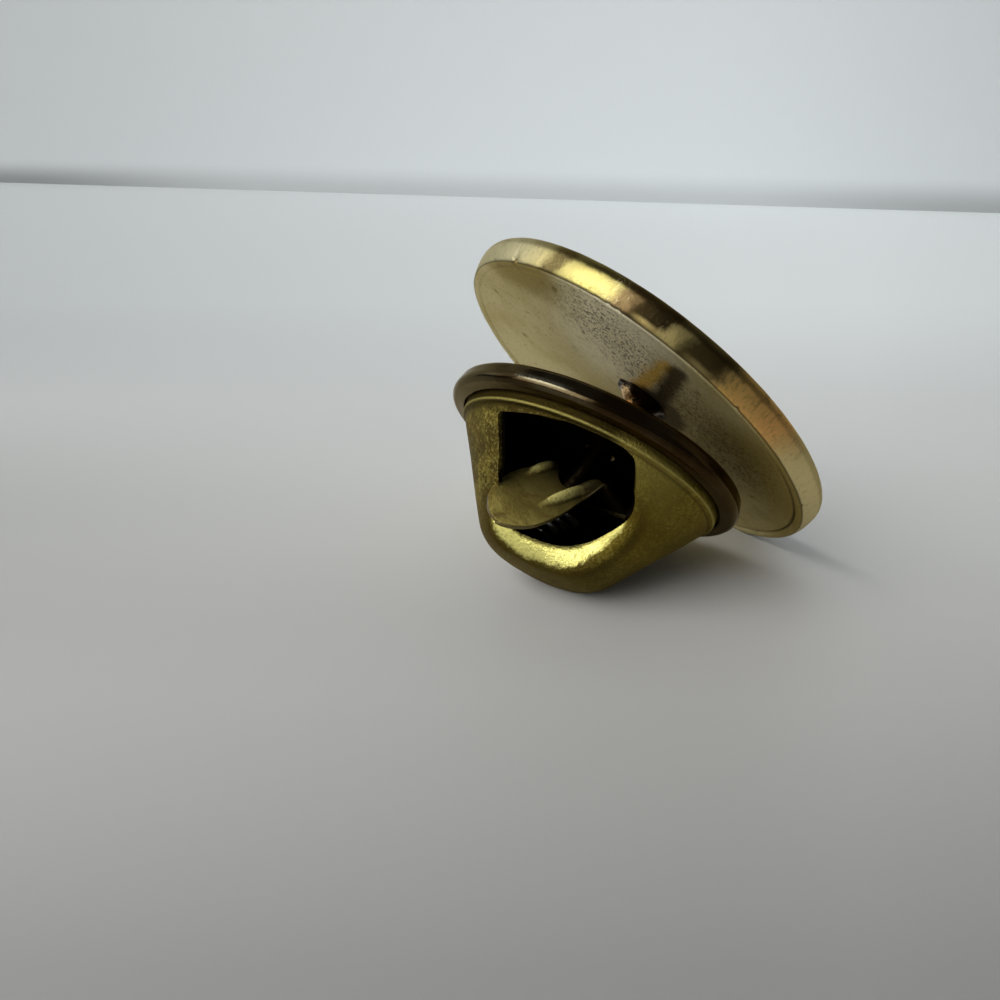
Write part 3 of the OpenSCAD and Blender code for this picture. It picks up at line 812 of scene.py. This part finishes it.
def makeLever(s):
    tilted = (Matrix.Translation((0, 0, pose["plateHeight"])) @ spun(-s["tilt"], "Y")
              @ spun(s["twist"], "X") @ Matrix.Translation((0, s["side"], 0)))
    first, last = s["outline"][0][0], s["outline"][-1][0]

    def sheetPoint(along, across):
        # the plate, then the bend, then the tab; gives the point and how high its rib is
        half = 0.5 * (across + 1)
        if along >= first:
            low, high = outlineAt(s["outline"], along)
            v = low + (high - low) * half
            point = tilted @ Vector((along, v, 0))
        else:
            low, high = s["outline"][0][1:]
            v = low + (high - low) * half
            width = across * s["plateHalf"]
            if along <= s["bendAt"]:
                point = Vector((along + s["shift"], width, pose["plateHeight"]))
            else:
                t = (along - s["bendAt"]) / (first - s["bendAt"])
                start = Vector((s["bendAt"] + s["shift"], width, pose["plateHeight"]))
                end = tilted @ Vector((first, v, 0))
                startPull = Vector((s["pull"], 0, 0))
                endPull = tilted.to_3x3() @ Vector((s["pull"] * 1.3, 0, 0))
                point = ((2 * t ** 3 - 3 * t * t + 1) * start + (t ** 3 - 2 * t * t + t) * startPull
                         + (3 * t * t - 2 * t ** 3) * end + (t ** 3 - t * t) * endPull)
        up = 0.0
        for fromU, fromV, toU, toV, wide, high in s["ribs"]:
            t = (along - fromU) / (toU - fromU)
            centre = fromV + (toV - fromV) * min(max(t, 0), 1)
            taper = min(max(t / 0.34, 0.0), 1.0) * min(max((1 - t) / 0.25, 0.0), 1.0)
            taper = math.sin(0.5 * math.pi * taper)
            if taper > 0:
                up = max(up, high * taper * hump((v - centre) / (wide * (0.35 + 0.65 * taper)), 1.4))
        return point, up

    nothingSelected()
    bpy.ops.mesh.primitive_grid_add(x_subdivisions=s["columns"], y_subdivisions=s["rows"], size=2)
    sheet = named("leverSheet")
    ribs, insideShade = [], []
    back = s["hingeAt"] - s["shift"] + 0.2
    for vertex in sheet.data.vertices:
        t, across = (vertex.co.x + 1) / 2, vertex.co.y
        t = 1 - (1 - t) ** 1.25  # closer columns towards the tip
        along = back + (last - back) * t
        point, up = sheetPoint(along, across)
        near = 0.01
        alongStep = sheetPoint(along + near, across)[0] - sheetPoint(along - near, across)[0]
        acrossStep = sheetPoint(along, across + near)[0] - sheetPoint(along, across - near)[0]
        face = alongStep.cross(acrossStep).normalized()
        dish = 0.04 * noise.noise(Vector((along, across, 2)) * 0.8)
        vertex.co = point - face * (up + dish)
        ribs.append(up)
        # darker towards the hinge, inside the housing: painted shade
        insideShade.append(min(max(1 - (along - 0.5) / 3.9, 0.0), 1.0) ** 0.7)
    paint(sheet, "rib", [up * 3.2 for up in ribs])
    paint(sheet, "deep", insideShade)
    # the slot for the post
    through = leverFrame.inverted() @ postFrame
    foot, way = through.translation, (through.to_3x3() @ Vector((0, 0, 1))).normalized()

    def fromPost(p):
        return (p - foot) - way * (p - foot).dot(way)

    edit(sheet)
    pick(sheet, "faces", lambda f: fromPost(f.calc_center_median()).length < s["slot"]
         and f.calc_center_median().z < 2.6)
    bpy.ops.mesh.delete(type="FACE")
    mesh = bmesh.from_edit_mesh(sheet.data)
    for vertex in mesh.verts:
        away = fromPost(vertex.co)
        if vertex.is_boundary and away.length < s["slot"] + 0.12:
            vertex.co += away.normalized() * (s["slot"] - away.length)
    bmesh.update_edit_mesh(sheet.data)
    done()
    mended(sheet)
    finishWith(sheet, "SOLIDIFY", thickness=s["sheet"], offset=0, use_even_offset=False)
    soften(sheet, 0.05, 2, 50)
    out = (tilted.to_3x3() @ Vector((0, 0, 1))).normalized()
    # which way each point faces, so that the rims and back can be painted dark as shade
    paint(sheet, "facing", [-vertex.normal.dot(out) for vertex in sheet.data.vertices])
    # the rolled barrel and the pin through it
    rods, hinge = [], Matrix.Translation((s["hingeAt"], 0, pose["plateHeight"])) @ spun(90, "X")
    for name, r, half in (("leverBarrel", s["barrel"], s["plateHalf"]), ("leverPin", s["pin"], s["pinHalf"])):
        end = [(r - 0.09, -half), (r - 0.03, 0.02 - half), (r, 0.07 - half), (r, -0.4 * half)]
        rod = turned(name, end + [(radius, -height) for radius, height in reversed(end)], s["rodSides"])
        rod.data.transform(hinge)
        # the barrel and pin, inside the housing, are painted dark: painted shade
        paint(rod, "deep", [0.9] * len(rod.data.vertices))
        paint(rod, "facing", [1.0] * len(rod.data.vertices))
        rods.append(rod)
    piece = join([sheet] + rods, "leverTab")
    smooth(piece, 60)
    place(piece, leverFrame)
    return piece


def leverFinish(at):
    s = lever
    broad, middle = at.grain(0.7, 3.0), at.grain(2.4, 4.0, 0.6)
    fine, speck = at.grain(11.0, 3.0, 0.7), at.grain(5.5, 4.0, 0.7)
    rib, deep, facing = at.painted("rib"), at.painted("deep"), at.painted("facing")
    # the rims and back face are painted dark: painted shade
    cutEdge = (1 - facing.above(0.05, 0.55)) * (1 - rib.above(0.05, 0.3))
    # the ribs are rubbed and painted bright and less metallic: wear and a painted highlight
    worn = (rib + (middle - 0.5) * 0.5 + (speck - 0.5) * 0.7).above(0.28, 0.66)
    worn = worn * (1 - (deep - 0.8).larger(0.0) * 5.0)
    colour = (broad + (middle - 0.5) * 0.6).above(0.36, 0.62).between(s["brass"], s["dull"]).coated(
        s, (speck.above(0.52, 0.68) * 0.5, "dull"), ((1 - speck.above(0.34, 0.46)) * 0.4, "pale"),
        (deep * 0.93, "deep"), (middle.above(0.54, 0.66) * 0.6, "brown"), (cutEdge * 0.85, "cutEdge"),
        (worn * 0.9, "rubbed"), (speck.above(0.50, 0.60) * worn * 0.7, "dull"))
    gloss = 0.36 + 0.16 * fine + 0.08 * speck - 0.16 * worn
    return {"BaseColor": colour, "Metallic": 0.45 - 0.35 * worn, "Roughness": gloss,
            "Normal": relief(fine * 0.35 + speck * 0.4 + middle * 0.25, 0.055, 1.0)}


# The coil that grips the post, inside the housing
coil = {
    "start": 5.28, "pitch": 0.32, "turns": 3, "close": 0.65, "mouth": 1.05, "wire": 0.11, "steps": 36,
    "steel": (0.78, 0.78, 0.75), "tarnish": (0.30, 0.27, 0.22),
}


def makeCoil(s):
    nothingSelected()
    bpy.ops.curve.primitive_bezier_curve_add()
    piece = named("gripCoil")
    line = piece.data
    line.splines.clear()
    spline = line.splines.new("POLY")
    count = s["turns"] * s["steps"] + 1
    spline.points.add(count - 1)
    for i, point in enumerate(spline.points):
        turns = i / s["steps"]
        radius = max(s["close"], s["mouth"] - (s["mouth"] - s["close"]) * turns / 2)
        angle = 2 * math.pi * turns
        point.co = (radius * math.cos(angle), radius * math.sin(angle), s["start"] + s["pitch"] * turns, 1)
    line.dimensions, line.fill_mode = "3D", "FULL"
    line.bevel_depth, line.bevel_resolution, line.use_fill_caps = s["wire"], 4, True
    take(piece)
    bpy.ops.object.convert(target="MESH")
    piece = named("gripCoil")
    mended(piece)
    smooth(piece, 60)
    place(piece, postFrame)
    return piece


def coilFinish(at):
    middle, fine = at.grain(2.0, 4.0, 0.6), at.grain(12.0, 3.0, 0.7)
    colour = middle.above(0.40, 0.64).between(coil["steel"], coil["tarnish"])
    return {"BaseColor": colour, "Metallic": 1.0, "Roughness": 0.24 + 0.18 * fine,
            "Normal": relief(fine, 0.006, 0.7)}


# Building and dressing
disc, pin, ring = makeMedal(medal), makePost(post), makeBase(base)
print("medal, post and base modelled")
ears = [makeEar(base, -1, "earLeft"), makeEar(base, 1, "earRight")]
shell = makeDome(dome)
print("housing modelled")
tab, spring = makeLever(lever), makeCoil(coil)
print("lever and coil modelled")

plating = material("wornPlating", medalFrame, medalFinish)
solderedSteel = material("solderedPost", postFrame, postFinish)
bronze = material("darkBronze", clutchFrame, baseFinish)
brass = material("oliveBrass", clutchFrame, domeFinish)
leverBrass = material("leverBrass", leverFrame, leverFinish)
springSteel = material("springSteel", postFrame, coilFinish)
for piece, finish, body, slot in (
        (disc, plating, "disc", "plated"), (pin, solderedSteel, "disc", "plated"),
        (ring, bronze, "clutch", "bronze"), (ears[0], bronze, "clutch", "bronze"),
        (ears[1], bronze, "clutch", "bronze"), (shell, brass, "clutch", "dome_brass"),
        (tab, leverBrass, "tab", "lever_brass"), (spring, springSteel, "grip", "spring_steel")):
    piece.data.materials.clear()
    piece.data.materials.append(finish)
    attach(piece, body)
for piece, node in ((disc, "medal"), (ring, "clutch_base"), (shell, "housing"), (tab, "lever"),
                    (spring, "grip_spring")):
    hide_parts(node)
print("pieces dressed")

# The table and the pale board behind it, soft light from the left, and the camera
stage = {
    "tableSize": 12.0, "tableNear": -30.0, "tableFar": 110.0,
    # how pale the table is from near to far, as a share of the way: painted shade, darker towards the camera
    "table": [(0.0, 0.355), (0.053, 0.37), (0.069, 0.42), (0.094, 0.485), (0.129, 0.56), (0.164, 0.595),
              (0.214, 0.68), (0.289, 0.735), (0.407, 0.77), (0.621, 0.85), (1.0, 0.85)],
    "fanFrom": (-5.2, -45.0),  # where the table's light fans out from
    "nearTint": (1.0, 1.0, 0.995), "farTint": (0.95, 1.0, 1.03),
    "board": (0.72, 0.765, 0.80), "boardSize": (1.6, 0.6), "boardAt": (-0.0052, 0.180), "boardTurn": -21.05,
    "room": (0.90, 0.95, 1.0, 1), "roomLight": 0.10,
    "camera": (-0.005155, -0.038339, 0.016728), "cameraTip": 68.8,
    "lens": 36.0, "sensor": 36.0, "nearest": 0.001,
}
nothingSelected()
bpy.ops.mesh.primitive_plane_add(size=stage["tableSize"])
table = named("table")
bpy.ops.mesh.primitive_plane_add(size=1.0)
board = named("board")
board.data.transform(Matrix.Translation((0, 0, stage["boardSize"][1] / 2)) @ spun(90, "X")
                     @ Matrix.Diagonal((*stage["boardSize"], 1, 1)))
board.matrix_world = Matrix.Translation((*stage["boardAt"], 0)) @ spun(stage["boardTurn"], "Z")
settle(board)


def tableFinish(at):
    x, y, _ = at.parts()
    share = (y - stage["tableNear"]) / (stage["tableFar"] - stage["tableNear"])
    pale = share.ramp([(position, (tone,) * 3) for position, tone in stage["table"]])
    # painted light and shade: brighter to the far right, darker to the near left, and a tint from near to far
    fan = (x - stage["fanFrom"][0]) / (y - stage["fanFrom"][1])
    pale = pale * (1.0 + fan.smaller(0.22) * (y.above(-20.0, 50.0) * 0.7 + y.near(2.0, 22.0) * 0.45 - 0.25))
    pale = pale * (1 - (fan - 0.34).larger(0.0) * 0.45)
    tint = y.above(-20.0, 60.0).between(stage["nearTint"], stage["farTint"])
    return {"BaseColor": pale.between((0, 0, 0), tint), "Roughness": 0.55}


def boardFinish(at):
    x, _, z = at.parts()
    # painted shade along the board's foot, and painted light brighter towards the right
    cornerShade = (1 - z.above(0.5, 6.0)) * (0.25 + 0.3 * (1 - x.above(-130.0, -60.0)) + 0.15 * x.above(40.0, 80.0))
    side = x.above(-150.0, 40.0) - x.above(30.0, 100.0) * 0.65
    shade = (1 - cornerShade) * (0.76 + 0.24 * side)
    return {"BaseColor": shade.between((0, 0, 0), stage["board"]), "Roughness": 0.7}


for piece, name, finish in ((table, "paleTable", tableFinish), (board, "paleBoard", boardFinish)):
    piece.data.materials.append(material(name, Matrix.Identity(4), finish))

lights = {
    # name: azimuth, height angle, distance, width, height, radiance, colour
    "window": (-147, 35, 2.0, 2.1, 1.8, 3.4, (1.0, 0.98, 0.93)),
    "windowSide": (150, 32, 2.0, 1.5, 1.2, 1.15, (0.97, 0.99, 1.0)),
}
for name, (azimuth, up, distance, width, height, radiance, colour) in lights.items():
    lamp = bpy.data.lights.new(name, "AREA")
    lamp.shape, lamp.size, lamp.size_y, lamp.color = "RECTANGLE", width, height, colour
    lamp.energy = radiance * math.pi * width * height
    holder = bpy.data.objects.new(name, lamp)
    a, e = math.radians(azimuth), math.radians(up)
    holder.location = Vector((math.cos(e) * math.cos(a), math.cos(e) * math.sin(a), math.sin(e))) * distance
    holder.rotation_euler = (-holder.location).to_track_quat("-Z", "Y").to_euler()
    bpy.context.scene.collection.objects.link(holder)

world = bpy.data.worlds.new("room")
world.use_nodes = True
background = world.node_tree.nodes["Background"].inputs
background["Color"].default_value, background["Strength"].default_value = stage["room"], stage["roomLight"]
bpy.context.scene.world = world
bpy.context.scene.view_settings.view_transform = "Standard"

camera = bpy.data.cameras.new("camera")
camera.lens, camera.sensor_width, camera.clip_start = stage["lens"], stage["sensor"], stage["nearest"]
eye = bpy.data.objects.new("camera", camera)
eye.location = stage["camera"]
eye.rotation_euler = (math.radians(stage["cameraTip"]), 0, 0)
bpy.context.scene.collection.objects.link(eye)
bpy.context.scene.camera = eye
print("table, light and camera set")
